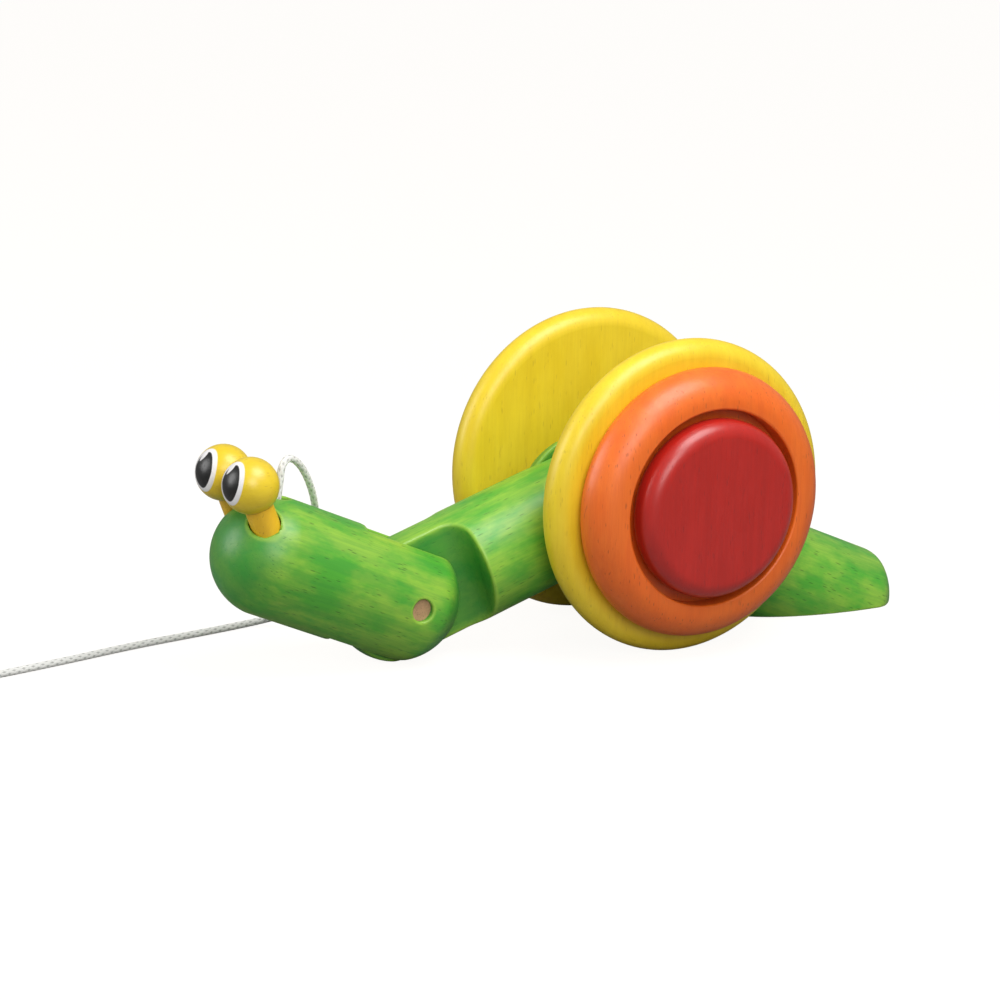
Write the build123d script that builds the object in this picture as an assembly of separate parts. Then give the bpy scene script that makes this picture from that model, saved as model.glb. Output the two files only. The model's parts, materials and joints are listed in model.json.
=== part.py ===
from build123d import *
import math
import os

# Pull-along inchworm: three hinged rods, a pair of layered wheels set off-centre on their axle,
# two ball eyes on pegs and a pull cord. Millimetres. X runs along the toy with the nose at -X,
# Z is up, and the side plane y = 0 is the plane of symmetry. The floor is z = 0 and the origin
# is the middle of the toy's footprint.

os.makedirs("parts", exist_ok=True)

# Wheels
WHEEL_X = 24.28           # wheel centre ahead of the origin
WHEEL_R = 50.0            # outer disc; also the height of the wheel centre
DISC_IN = 23.1            # inner face of the outer disc, from the side plane
DISC_T = 10.5
DISC_EDGE = 5.1           # nearly a full round
RING_R = 42.8
RING_T = 13.5
RING_SHOULDER = 10.0      # wide round on the outboard edge
RING_UNDERCUT = 4.5       # round where the ring meets the disc
RECESS_R = 31.0
RECESS_DEPTH = 6.5
LIP = 0.8
HUB_R = 28.2
HUB_T = 11.5
HUB_EDGE = 5.2

# Body rods
ROD_R = 18.5
LINK_PITCH = 18.5         # degrees, rising from the knee to the axle
HEAD_PITCH = 23.4         # degrees, rising from the knee to the nose
TAIL_PITCH = 22.8         # degrees, falling from the axle to the tail's tip
KNEE_X = WHEEL_X - 86.4
KNUCKLE_R = 20.2          # ball-turned front end of the link, which rests on the floor
PIN_RISE = 0.8            # knee pin above the point where the two rods' axes cross
AXLE_ALONG = 75.0         # axle from the knee, measured along the link
AXLE_DROP = 2.0           # axle below the link's axis
REAR_TONGUE_R = 18.5
HEAD_END_R = 20.0         # ball-turned ends of the head's and the tail's forks
TAIL_END_R = 24.0
ROUGH = 30.0              # length of rod before a ball-turned end's centre, before it is turned
TONGUE_HALF = 5.0
SLOT_HALF = 5.6
KNEE_SLOT_R = 26.5
REAR_SLOT_R = 25.0
KNEE_SHOULDER = 25.4      # shoulder beyond the front tongue, along the link from the knee
KNEE_COVE = 7.0
REAR_SHOULDER_R = 25.5
REAR_COVE = 4.0
NOSE_LENGTH = 65.1
NOSE_R = 18.6             # ball-turned nose
TAIL_LENGTH = 123.3
TAIL_TIP_R = 21.0         # ball-turned tip

# Pins
KNEE_PIN_R = 3.5
PIN_SUNK = 2.0            # knee pin's ends below the cheeks' surface
AXLE_R = 5.0
AXLE_IN_RING = 4.5
RUNNING = 0.06            # radial clearance of a pin that turns in its hole
SPACER_R = 9.0
SPACER_GAP = 0.35

# Eyes
EYE_R = 8.6
EYE_SPREAD = 9.3          # eye centre from the side plane
EYE_ALONG = 67.1          # eye centre along the head from the knee
EYE_ABOVE = 18.5          # eye centre above the head's axis
STALK_R = 4.4
STALK_IN_EYE = 5.0
STALK_END = 23.0          # stalk's lower end from the eye's centre
STALK_MOUTH_R = 4.75      # loose upper part of the hole
STALK_MOUTH_END = 15.5

# Pull cord
CORD_D = 2.3
CORD_BORE_R = 2.75
CORD_BORE_ALONG = 51.0
CORD_BORE_DEPTH = 9.0
KNOT_R = 2.6
COIL_CENTRE = (-207.9, 18.0)
COIL_IN_R = 10.0
COIL_OUT_R = 15.0
COIL_HEIGHT = 7.0
BEAD_R = 7.5
BEAD_BORE_R = 1.5
END_KNOT_R = 2.8

# The cord's route: out of the head, over in a small loop, down behind the head, along the floor.
CORD_ROUTE = [
    (-103.4, 0.0, 52.4),
    (-102.0, 0.3, 60.0),
    (-101.3, 0.8, 65.5),
    (-97.6, 2.8, 67.6),
    (-92.0, 5.8, 63.6),
    (-86.4, 9.8, 55.2),
    (-81.5, 16.0, 45.0),
    (-77.0, 26.0, 32.0),
    (-74.9, 35.0, 17.0),
    (-77.4, 45.0, 4.5),
    (-84.9, 51.4, 1.25),
    (-103.9, 47.9, 1.25),
    (-129.9, 44.1, 1.25),
    (-157.9, 37.6, 1.25),
    (-182.9, 32.9, 1.25),
    (-200.9, 31.1, 1.25),
]
# From the coil's top turn to the knot behind the bead.
CORD_END_ROUTE = [
    (-221.8, 21.8, 5.85),
    (-223.3, 15.6, 6.6),
    (-227.8, 9.6, 7.5),
    (-234.3, 0.8, 7.5),
]


def in_plane(degrees):
    """Unit vector in the side plane, at this angle above +X."""
    return Vector(math.cos(math.radians(degrees)), 0, math.sin(math.radians(degrees)))


def square_to(direction):
    """The upward unit vector in the side plane at right angles to direction."""
    up = Vector(-direction.Z, 0, direction.X)
    return up if up.Z > 0 else -up


def rod(start, direction, length):
    """Round rod from start along direction."""
    body = Cylinder(ROD_R, length, align=(Align.CENTER, Align.CENTER, Align.MIN))
    return Plane(origin=start, z_dir=direction) * body


def ball_tipped_rod(start, direction, length, tip_radius):
    """Round rod from start along direction, with its far end turned to a ball."""
    shoulder = length - tip_radius + math.sqrt(tip_radius ** 2 - ROD_R ** 2)
    half = math.asin(ROD_R / tip_radius) / 2
    middle = (tip_radius * math.sin(half), length - tip_radius + tip_radius * math.cos(half))
    outline = Polyline((0, length), (0, 0), (ROD_R, 0), (ROD_R, shoulder))
    outline += ThreePointArc((ROD_R, shoulder), middle, (0, length))
    profile = Plane.XZ * make_face(outline)
    return Plane(origin=start, z_dir=direction) * revolve(profile, Axis.Z)


def beyond(start, direction):
    """A long block that begins square to direction at start."""
    block = Box(100, 100, 200, align=(Align.CENTER, Align.CENTER, Align.MIN))
    return Plane(origin=start, z_dir=direction) * block


def ball_turned(body, start, direction, centre, radius):
    """The rod's end before start, turned to a ball about centre."""
    return body & (Pos(*centre) * Sphere(radius) + beyond(start, direction))


def cross_disc(centre, radius, half_width):
    """Disc about a crosswise axis through a point of the side plane."""
    return Plane(origin=centre, z_dir=(0, 1, 0)) * Cylinder(radius, 2 * half_width)


def shoulder_outline(reach, cove):
    """Half of what is cut away beside a tongue: up to the shoulder, with a cove at its foot."""
    floor = TONGUE_HALF
    wall = floor + cove
    dip = cove * math.sin(math.pi / 4)
    outer = 2 * ROD_R
    outline = Line((0, floor), (reach - cove, floor))
    outline += ThreePointArc((reach - cove, floor), (reach - cove + dip, wall - dip), (reach, wall))
    outline += Polyline((reach, wall), (reach, outer))
    return outline, outer, floor


def turned_shoulder(centre, reach, cove):
    """Cut on both sides of a tongue, turned about a crosswise axis."""
    outline, outer, floor = shoulder_outline(reach, cove)
    outline += Polyline((reach, outer), (0, outer), (0, floor))
    cut = revolve(make_face(outline), Axis.Y)
    return Pos(*centre) * (cut + mirror(cut, Plane.XZ))


def milled_shoulder(start, direction, reach, cove):
    """Cut on both sides of a tongue, milled straight across the rod."""
    outline, outer, floor = shoulder_outline(reach, cove)
    outline += Polyline((reach, outer), (-outer, outer), (-outer, floor), (0, floor))
    cut = extrude(make_face(outline), 2 * ROD_R, both=True)
    cut += mirror(cut, Plane.XZ)
    return Plane(origin=start, x_dir=direction, z_dir=square_to(direction)) * cut


def fork(body, pivot, slot_radius):
    """The rod's end, slotted into two cheeks about its pivot."""
    return body - cross_disc(pivot, slot_radius, SLOT_HALF)


def puck(inner_y, thickness, radius, inner_edge, outer_edge):
    """Disc of the right-hand wheel about the wheel's centre, with rounded edges."""
    body = Cylinder(radius, thickness, align=(Align.CENTER, Align.CENTER, Align.MIN))
    body = fillet(body.edges().filter_by(GeomType.CIRCLE).sort_by(Axis.Z)[-1], outer_edge)
    body = fillet(body.edges().filter_by(GeomType.CIRCLE).sort_by(Axis.Z)[0], inner_edge)
    return Plane(origin=(WHEEL_X, inner_y, WHEEL_R), z_dir=(0, 1, 0)) * body


def cord_tube(points):
    """Round cord along straight runs joined by the widest tangent arcs that the runs allow."""
    corners = [Vector(*p) for p in points]
    runs = [b - a for a, b in zip(corners, corners[1:])]
    radii = []
    for one, two in zip(runs, runs[1:]):
        turn = math.radians(one.get_angle(two))
        radii.append(0.45 * min(one.length, two.length) / math.tan(turn / 2))
    print("cord arc radii", [round(r, 1) for r in radii])
    path = FilletPolyline(*corners, radius=radii)
    section = Plane(origin=path @ 0, z_dir=path % 0) * Circle(CORD_D / 2)
    tube = sweep(section, path=path)
    print("cord length", round(path.length, 1), "volume ratio",
          round(tube.volume / (math.pi * CORD_D ** 2 / 4 * path.length), 4))
    return tube


link_dir = in_plane(LINK_PITCH)
head_dir = in_plane(180 - HEAD_PITCH)
tail_dir = in_plane(-TAIL_PITCH)
knee = Vector(KNEE_X, 0, KNUCKLE_R)
crossing = knee - Vector(0, 0, PIN_RISE)
axle_at = crossing + AXLE_ALONG * link_dir - AXLE_DROP * square_to(link_dir)
print("knee", knee, "axle", axle_at)

parts = {}

# Neck link: ball-turned and milled to a tongue at the knee, a round tongue at the axle.
link = rod(crossing - ROUGH * link_dir, link_dir, ROUGH + AXLE_ALONG)
link = ball_turned(link, crossing, link_dir, knee, KNUCKLE_R)
link -= milled_shoulder(crossing, link_dir, KNEE_SHOULDER, KNEE_COVE)
link -= turned_shoulder(axle_at, REAR_SHOULDER_R, REAR_COVE)
link += cross_disc(axle_at, REAR_TONGUE_R, TONGUE_HALF)
link -= cross_disc(knee, KNEE_PIN_R + RUNNING, ROD_R)
link -= cross_disc(axle_at, AXLE_R + RUNNING, ROD_R)
parts["neck_link"] = link

# Head: ball-turned fork over the link's front tongue, round nose, holes for pin, eyes and cord.
head = ball_tipped_rod(crossing - ROUGH * head_dir, head_dir, ROUGH + NOSE_LENGTH, NOSE_R)
head_up = square_to(head_dir)
eye_axis = (head_dir + head_up).normalized()
eye_mid = crossing + EYE_ALONG * head_dir + EYE_ABOVE * head_up
cord_hole = crossing + CORD_BORE_ALONG * head_dir + ROD_R * head_up
cord_bore = Plane(origin=cord_hole + 5 * head_up, z_dir=-head_up) * Cylinder(
    CORD_BORE_R, CORD_BORE_DEPTH + 5, align=(Align.CENTER, Align.CENTER, Align.MIN)
)
head -= cord_bore
for side, y in (("left", -EYE_SPREAD), ("right", EYE_SPREAD)):
    centre = eye_mid + Vector(0, y, 0)
    down = Plane(origin=centre, z_dir=-eye_axis)
    bottom_up = (Align.CENTER, Align.CENTER, Align.MIN)
    stalk = down * Pos(0, 0, EYE_R - STALK_IN_EYE) * Cylinder(
        STALK_R, STALK_END - EYE_R + STALK_IN_EYE, align=bottom_up
    )
    head -= down * Cylinder(STALK_R, STALK_END, align=bottom_up)
    head -= down * Cylinder(STALK_MOUTH_R, STALK_MOUTH_END, align=bottom_up)
    parts["eye_stalk_" + side] = stalk
    parts["eye_ball_" + side] = Pos(*centre) * Sphere(EYE_R) - stalk
head = ball_turned(head, crossing, head_dir, knee, HEAD_END_R)
head = fork(head, knee, KNEE_SLOT_R)
head -= cross_disc(knee, KNEE_PIN_R, ROD_R)
parts["head"] = head

# Tail: ball-turned at both ends, a fork over the link's rear tongue, its underside cut flat as a foot.
tail = ball_tipped_rod(axle_at - ROUGH * tail_dir, tail_dir, ROUGH + TAIL_LENGTH, TAIL_TIP_R)
tail = ball_turned(tail, axle_at, tail_dir, axle_at, TAIL_END_R)
tail = fork(tail, axle_at, REAR_SLOT_R)
tail -= cross_disc(axle_at, AXLE_R + RUNNING, ROD_R)
tail -= Box(400, 100, 100, align=(Align.CENTER, Align.CENTER, Align.MAX))
parts["tail"] = tail

# Knee pin and wheel axle
parts["knee_pin"] = cross_disc(knee, KNEE_PIN_R, ROD_R - PIN_SUNK)
ring_in = DISC_IN + DISC_T
axle_half = ring_in + AXLE_IN_RING
parts["axle"] = cross_disc(axle_at, AXLE_R, axle_half)

# Wheels: a bull-nosed disc, a shouldered ring with a round recess, and a hub puck in the recess.
axle_hole = cross_disc(axle_at, AXLE_R, axle_half)
disc = puck(DISC_IN, DISC_T, WHEEL_R, DISC_EDGE, DISC_EDGE) - axle_hole
ring = puck(ring_in, RING_T, RING_R, RING_UNDERCUT, RING_SHOULDER) - axle_hole
ring_out = ring_in + RING_T
recess_floor = ring_out - RECESS_DEPTH
ring -= Plane(origin=(WHEEL_X, recess_floor, WHEEL_R), z_dir=(0, 1, 0)) * Cylinder(
    RECESS_R, RING_T, align=(Align.CENTER, Align.CENTER, Align.MIN)
)
lip = ring.edges().filter_by(GeomType.CIRCLE).filter_by(
    lambda e: abs(e.radius - RECESS_R) < 0.01).sort_by(Axis.Y)[-1]
ring = fillet(lip, LIP)
hub = puck(recess_floor, HUB_T, HUB_R, HUB_EDGE, HUB_EDGE)
spacer_in = ROD_R + SPACER_GAP
spacer = Plane(origin=(axle_at.X, spacer_in, axle_at.Z), z_dir=(0, 1, 0)) * (
    Cylinder(SPACER_R, DISC_IN - spacer_in, align=(Align.CENTER, Align.CENTER, Align.MIN))
    - Cylinder(AXLE_R, 4 * AXLE_R)
)
for name, piece in (("disc", disc), ("ring", ring), ("hub", hub), ("spacer", spacer)):
    parts["wheel_" + name + "_right"] = piece
    parts["wheel_" + name + "_left"] = mirror(piece, Plane.XZ)

# Pull cord, its knots, the coil of its spare length and the pull bead
knot_at = cord_hole - (CORD_BORE_DEPTH - KNOT_R) * head_up
parts["cord_anchor_knot"] = Pos(*knot_at) * Sphere(KNOT_R)
parts["pull_cord"] = cord_tube(CORD_ROUTE) - parts["cord_anchor_knot"]
coil = Cylinder(COIL_OUT_R, COIL_HEIGHT, align=(Align.CENTER, Align.CENTER, Align.MIN))
coil -= Cylinder(COIL_IN_R, 4 * COIL_HEIGHT)
parts["cord_coil"] = Pos(*COIL_CENTRE, 0.1) * coil
end_from, end_to = Vector(*CORD_END_ROUTE[-2]), Vector(*CORD_END_ROUTE[-1])
end_dir = (end_to - end_from).normalized()
bead_at = end_to - (END_KNOT_R + BEAD_R - 1.0) * end_dir
bead_axis = Plane(origin=bead_at, z_dir=end_dir)
parts["pull_bead"] = bead_axis * (Sphere(BEAD_R) - Cylinder(BEAD_BORE_R, 4 * BEAD_R))
parts["bead_knot"] = Pos(*(end_to + 0.5 * end_dir)) * Sphere(END_KNOT_R)
parts["cord_end"] = cord_tube(CORD_END_ROUTE) - parts["bead_knot"]

for name, piece in parts.items():
    piece.label = name
    export_step(piece, f"parts/{name}.step")
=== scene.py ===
import json
import math

import bpy
import numpy as np
from mathutils import Matrix, Vector


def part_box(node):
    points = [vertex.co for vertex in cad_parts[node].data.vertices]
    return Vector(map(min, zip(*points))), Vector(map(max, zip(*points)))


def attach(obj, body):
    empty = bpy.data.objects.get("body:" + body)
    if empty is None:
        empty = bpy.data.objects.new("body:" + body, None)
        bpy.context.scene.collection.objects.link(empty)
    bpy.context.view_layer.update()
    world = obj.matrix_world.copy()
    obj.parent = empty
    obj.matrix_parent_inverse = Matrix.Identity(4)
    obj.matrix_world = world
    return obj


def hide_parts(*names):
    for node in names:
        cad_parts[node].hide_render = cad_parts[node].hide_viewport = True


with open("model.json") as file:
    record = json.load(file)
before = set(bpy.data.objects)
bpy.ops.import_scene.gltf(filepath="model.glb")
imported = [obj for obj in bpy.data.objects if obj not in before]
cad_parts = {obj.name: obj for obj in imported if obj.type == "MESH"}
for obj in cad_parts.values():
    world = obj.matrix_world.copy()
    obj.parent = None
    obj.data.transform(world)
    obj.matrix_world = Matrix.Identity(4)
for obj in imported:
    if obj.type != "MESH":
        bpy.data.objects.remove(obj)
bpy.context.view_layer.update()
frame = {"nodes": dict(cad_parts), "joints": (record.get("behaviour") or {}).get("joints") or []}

bl_info = {
    "name": "Wooden pull-along inchworm",
    "version": (1, 0, 0),
    "blender": (4, 5, 0),
    "location": "View3D > Sidebar > Inchworm",
    "description": "Builds the surfaces, the finishes and the studio of a wooden pull-along inchworm",
    "category": "Object",
}

MM = 0.001
JOINTS = {joint["name"]: joint for joint in frame["joints"]}
KNEE = np.array(JOINTS["knee_hinge"]["pos_m"], float)
AXLE = np.array(JOINTS["tail_hinge"]["pos_m"], float)
SIDES = ("left", "right")


def box_middle(node):
    """The middle of a CAD node's box."""
    low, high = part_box(node)
    return (np.array(low) + np.array(high)) / 2


def box_size(node):
    """The length, width and height of a CAD node's box."""
    low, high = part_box(node)
    return np.array(high) - np.array(low)


ROD_R = box_size("neck_link")[1] / 2
EYE_R = box_size("eye_ball_left")[1] / 2

# The joints. The knee pin stands above the point where the link's and the head's axes cross.
CROSSING = KNEE - np.array([0.0, 0.0, 0.8 * MM])
KNUCKLE_R = 20.2 * MM
HEAD_END_R = 20.0 * MM
TAIL_END_R = 24.0 * MM
TONGUE_HALF = 5.0 * MM
SLOT_HALF = 5.6 * MM
KNEE_SLOT_R = 26.5 * MM
REAR_SLOT_R = 25.0 * MM
KNEE_SHOULDER = 25.4 * MM
KNEE_COVE = 7 * MM
REAR_SHOULDER_R = 25.5 * MM
REAR_COVE = 4 * MM
REAR_TONGUE_R = 18.5 * MM
KNEE_PIN_R = 3.5 * MM
KNEE_PIN_HOLE_R = 3.56 * MM
AXLE_HOLE_R = 5.06 * MM

# The eyes and the cord's hole, along the head from the crossing and above its axis.
EYE_ALONG = 67.1 * MM
EYE_ABOVE = 18.5 * MM
STALK_R = 4.4 * MM
STALK_END = 23.0 * MM
STALK_MOUTH_R = 4.75 * MM
STALK_MOUTH_END = 15.5 * MM
STALK_IN_EYE = 5.0 * MM
CORD_BORE_ALONG = 51 * MM
CORD_BORE_R = 2.75 * MM
CORD_BORE_DEPTH = 9.0 * MM


# Sizes and colours


def length(name, default, description):
    return bpy.props.FloatProperty(
        name=name, description=description, default=default, min=0.0, subtype="DISTANCE", unit="LENGTH"
    )


def angle(name, degrees, description):
    return bpy.props.FloatProperty(
        name=name, description=description, default=math.radians(degrees), subtype="ANGLE", unit="ROTATION"
    )


def colour(name, rgb, description):
    return bpy.props.FloatVectorProperty(
        name=name, description=description, default=rgb, size=3, min=0.0, max=1.0, subtype="COLOR"
    )


class InchwormSizes(bpy.types.PropertyGroup):
    rod_radius: length("Rod radius", ROD_R, "Half the thickness of the three body rods")
    link_pitch: angle("Link pitch", 18.5, "Rise of the neck link from the knee to the axle")
    head_pitch: angle("Head pitch", 23.4, "Rise of the head from the knee to the nose")
    tail_pitch: angle("Tail pitch", 22.8, "Fall of the tail from the axle to its tip")
    link_length: length("Link length", 0.0750, "Knee to axle along the neck link")
    nose_length: length("Nose length", 0.0651, "Knee to the tip of the nose")
    nose_ball: length("Nose ball", 0.0186, "Radius of the ball-turned nose")
    tail_length: length("Tail length", 0.1233, "Axle to the tail's tip")
    tail_ball: length("Tail ball", 0.0210, "Radius of the ball-turned tail tip")
    cheek_edge: length("Cheek edge", 0.0009, "Rounding where a rod meets its ball-turned end")
    small_edge: length("Small edge", 0.0008, "Rounding of tongues, shoulders and slots")
    mesh_step: length("Mesh step", 0.00062, "Spacing of the points on the rods' surfaces")
    cord_diameter: length("Cord diameter", 0.0023, "Thickness of the braided pull cord")
    cord_step: length("Cord step", 0.00033, "Spacing of the rings along the cord")


class InchwormColours(bpy.types.PropertyGroup):
    green: colour("Green stain", (0.085, 0.430, 0.030), "Stain of the body rods")
    # The deep green also gives the painted shade in inward edges, at half strength. The light green is also
    # what outward edges are painted toward, as edge wear and painted highlight.
    green_deep: colour("Deep green", (0.028, 0.255, 0.034), "Green stain on end grain and cut faces")
    green_light: colour("Light green", (0.360, 0.600, 0.060), "Green stain on the palest streaks")
    yellow: colour("Yellow stain", (0.830, 0.600, 0.020), "Stain of the wheel discs and the eyes")
    orange: colour("Orange stain", (0.860, 0.150, 0.012), "Stain of the wheel rings")
    red: colour("Red stain", (0.480, 0.014, 0.008), "Stain of the wheel hubs and the bead")
    wood: colour("Bare wood", (0.540, 0.320, 0.170), "Unstained pins and spacers")
    cord: colour("Cord", (0.860, 0.860, 0.830), "Braided cotton")
    eye_white: colour("Eye white", (0.900, 0.880, 0.880), "Paint round the pupils")
    pupil: colour("Pupil", (0.004, 0.004, 0.004), "Paint of the pupils")
    floor: colour("Floor", (1.000, 0.985, 0.965), "Studio floor")


# Mesh tools


def unit(vector):
    """A vector, or rows of vectors, at length one."""
    vector = np.asarray(vector, float)
    return vector / np.maximum(np.linalg.norm(vector, axis=-1, keepdims=True), 1e-12)


def in_plane(radians):
    """Unit vector in the side plane, at this angle above +X."""
    return np.array([math.cos(radians), 0.0, math.sin(radians)])


def square_to(direction):
    """The upward unit vector in the side plane at right angles to direction."""
    up = np.array([-direction[2], 0.0, direction[0]])
    return up if up[2] > 0 else -up


def add_piece(name, points, faces, body, material, normals=None):
    """A mesh object at the origin whose place is in its vertices, riding on a body."""
    mesh = bpy.data.meshes.new(name)
    mesh.from_pydata(points.tolist(), [], faces)
    mesh.polygons.foreach_set("use_smooth", np.ones(len(mesh.polygons), bool))
    if normals is not None:
        mesh.normals_split_custom_set_from_vertices(normals.tolist())
    mesh.materials.append(material)
    mesh.update()
    piece = bpy.data.objects.new(name, mesh)
    bpy.context.scene.collection.objects.link(piece)
    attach(piece, body)
    return piece


def note(piece, name, values, kind="FLOAT"):
    """Keeps a value for each vertex of a piece, for its material to read."""
    attribute = piece.data.attributes.new(name, kind, "POINT")
    field = "vector" if kind == "FLOAT_VECTOR" else "value"
    attribute.data.foreach_set(field, np.ascontiguousarray(values, np.float32).ravel())


def ringed_faces(rings, around):
    """Faces of a closed skin made of rings of points, one after another, with a pole at each end. The
    poles are the two points after the rings, the first ring's before the last ring's."""
    i, j = np.meshgrid(np.arange(rings - 1), np.arange(around), indexing="ij")
    k = (j + 1) % around
    quads = np.stack([i * around + j, i * around + k, (i + 1) * around + k, (i + 1) * around + j], -1)
    j, k, n = j[0], k[0], rings * around
    first = np.stack([np.full(around, n), k, j], -1)
    last = np.stack([np.full(around, n + 1), n - around + j, n - around + k], -1)
    return quads.reshape(-1, 4).tolist() + first.tolist() + last.tolist()


def turned(centre, axis, profile, steps):
    """A profile of (radius, height) pairs carried round an axis: the point at angle t is
    centre + height * axis + radius * (cos t * side + sin t * ahead). Both ends lie on the axis and close
    in a pole. The profile runs from the bottom pole outwards and up, so that the faces point outwards."""
    axis = unit(axis)
    side = unit(np.cross(axis, [0.0, 1.0, 0.0] if abs(axis[1]) < 0.8 else [1.0, 0.0, 0.0]))
    ahead = np.cross(axis, side)
    profile = np.asarray(profile, float)
    ring = profile[1:-1]
    t = np.linspace(0, 2 * np.pi, steps, endpoint=False)
    round_ = np.cos(t)[:, None] * side + np.sin(t)[:, None] * ahead
    points = centre + ring[:, None, 1:] * axis + ring[:, None, :1] * round_[None]
    points = points.reshape(-1, 3)
    low, high = centre + profile[0, 1] * axis, centre + profile[-1, 1] * axis
    return np.vstack([points, low, high]), ringed_faces(len(ring), steps)


def tube(path, radius, around):
    """A tube round a path. At each path point a ring of points stands square to the path: its point at
    angle t is path + radius(t) * (cos t * side + sin t * ahead), with side the part of one fixed
    direction that is square to the path. radius is an array of (path point, angle). The ends close in
    a pole."""
    along = unit(np.gradient(path, axis=0))
    fixed = unit([0.62, -0.62, 0.48])
    side = unit(fixed - (along @ fixed)[:, None] * along)
    ahead = np.cross(along, side)
    t = np.linspace(0, 2 * np.pi, around, endpoint=False)
    ring = np.cos(t)[None, :, None] * side[:, None] + np.sin(t)[None, :, None] * ahead[:, None]
    points = (path[:, None] + radius[..., None] * ring).reshape(-1, 3)
    return np.vstack([points, path[:1], path[-1:]]), ringed_faces(len(path), around)


# Carved rods


def carve(a, b, width):
    """The larger of two distances, eased over width where they are equal, which rounds an edge."""
    h = np.maximum(width - np.abs(a - b), 0.0) / width
    return np.maximum(a, b) + h * h * width / 4


def join(a, b, width):
    """The smaller of two distances, eased over width."""
    return -carve(-a, -b, width)


class Rod:
    """The distance from a turned, cut and drilled rod, as a function of a point. Its own axes are s
    along the rod from the crossing of the axes, y across, and n up."""

    def __init__(self, start, direction, radius, round_edge, small_edge):
        self.start = start
        self.direction = direction
        self.up = square_to(direction)
        self.radius = radius
        self.cheek = round_edge * 1.17
        self.small = small_edge * 1.17

    def axes(self, p):
        """A point's s, y and n."""
        q = p - self.start
        return q @ self.direction, q[..., 1], q @ self.up

    def ball_end(self, p, s, centre, ball_radius):
        """What a ball-turned end before s = 0 keeps: the ball about centre, and all beyond s = 0."""
        return np.minimum(np.linalg.norm(p - centre, axis=-1) - ball_radius, -s)

    def tip(self, s, y, n, end, ball_radius):
        """What a ball-turned tip at s = end keeps: the ball, and all before the ball's middle."""
        beyond = s - (end - ball_radius)
        return np.minimum(np.sqrt(beyond * beyond + y * y + n * n) - ball_radius, beyond)

    def hole(self, p, mouth, inward, radius, depth):
        """Round hole of a depth, from its mouth inward."""
        q = p - mouth
        down = q @ inward
        off = np.sqrt(np.maximum((q * q).sum(-1) - down * down, 0.0))
        return np.maximum(off - radius, down - depth)


def from_pivot(p, pivot):
    """Distance from a crosswise axis through a point of the side plane."""
    return np.hypot(p[..., 0] - pivot[0], p[..., 2] - pivot[2])


def shoulder(away, across, reach, half, cove):
    """What is turned away beside a tongue: everything nearer the pivot than reach and further out than
    the tongue's half width, with a quarter-round cove between the tongue's face and the round wall."""
    outer = np.maximum(away - reach, half + cove - across)
    inner = np.maximum(away - (reach - cove), half - across)
    round_ = np.hypot(away - (reach - cove), across - (half + cove)) - cove
    return np.minimum(np.minimum(outer, inner), round_)


def link_distance(rod, rod_length):
    """Neck link: a bar with its front end turned to a ball about the knee and milled straight across to
    a tongue, a round tongue at the axle behind a turned shoulder, and a hole through each tongue."""
    def distance(p):
        s, y, n = rod.axes(p)
        across = np.abs(y)
        at_knee, at_axle = from_pivot(p, KNEE), from_pivot(p, AXLE)
        body = np.maximum(np.hypot(y, n) - rod.radius, s - rod_length)
        body = carve(body, rod.ball_end(p, s, KNEE, KNUCKLE_R), rod.cheek)
        body = carve(body, -shoulder(s, across, KNEE_SHOULDER, TONGUE_HALF, KNEE_COVE), rod.small)
        body = carve(body, -shoulder(at_axle, across, REAR_SHOULDER_R, TONGUE_HALF, REAR_COVE), rod.small)
        rear = carve(at_axle - REAR_TONGUE_R, across - TONGUE_HALF, rod.small)
        whole = np.maximum(join(body, rear, 0.5 * MM), KNEE_PIN_HOLE_R - at_knee)
        return np.maximum(whole, AXLE_HOLE_R - at_axle)
    return distance


def fork(rod, p, end, ball, pivot, pivot_ball, slot_reach):
    """A bar turned to a ball at both ends, and slotted about its pivot into two cheeks."""
    s, y, n = rod.axes(p)
    body = np.hypot(y, n) - rod.radius
    body = carve(body, rod.tip(s, y, n, end, ball), 0.4 * (ball - rod.radius))
    body = carve(body, rod.ball_end(p, s, pivot, pivot_ball), rod.cheek)
    away = from_pivot(p, pivot)
    return carve(body, -np.maximum(away - slot_reach, np.abs(y) - SLOT_HALF), rod.small)


def head_distance(rod, end, ball, eyes, eye_axis, cord_mouth):
    """Head: a fork over the link's front tongue, with holes for the knee pin, the two eye stalks and the
    cord. The upper part of a stalk's hole is a little wider than the stalk."""
    def distance(p):
        body = fork(rod, p, end, ball, KNEE, HEAD_END_R, KNEE_SLOT_R)
        body = carve(body, KNEE_PIN_R - from_pivot(p, KNEE), 0.7 * MM)
        for eye in eyes:
            body = carve(body, -rod.hole(p, eye, -eye_axis, STALK_R, STALK_END), 0.25 * MM)
            body = carve(body, -rod.hole(p, eye, -eye_axis, STALK_MOUTH_R, STALK_MOUTH_END), 0.25 * MM)
        bore = rod.hole(p, cord_mouth, -rod.up, CORD_BORE_R, CORD_BORE_DEPTH)
        return carve(body, -bore, 0.9 * MM)
    return distance


def tail_distance(rod, end, ball):
    """Tail: a fork over the link's rear tongue, with the axle's hole, and its underside cut flat where
    it rests on the floor."""
    def distance(p):
        body = fork(rod, p, end, ball, AXLE, TAIL_END_R, REAR_SLOT_R)
        body = carve(body, AXLE_HOLE_R - from_pivot(p, AXLE), 0.5 * MM)
        return carve(body, -p[..., 2], 0.5 * MM)
    return distance


def slope(distance, points, reach):
    """How the distance changes along x, y and z, and how far its mean round a point is from its value
    there, which is above nothing on an outward edge and below on an inward one."""
    steps = np.eye(3) * reach
    ahead = np.stack([distance(points + step) for step in steps], -1)
    behind = np.stack([distance(points - step) for step in steps], -1)
    bend = (ahead + behind).mean(-1) / 2 - distance(points)
    return (ahead - behind) / (2 * reach), bend / reach


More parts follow.
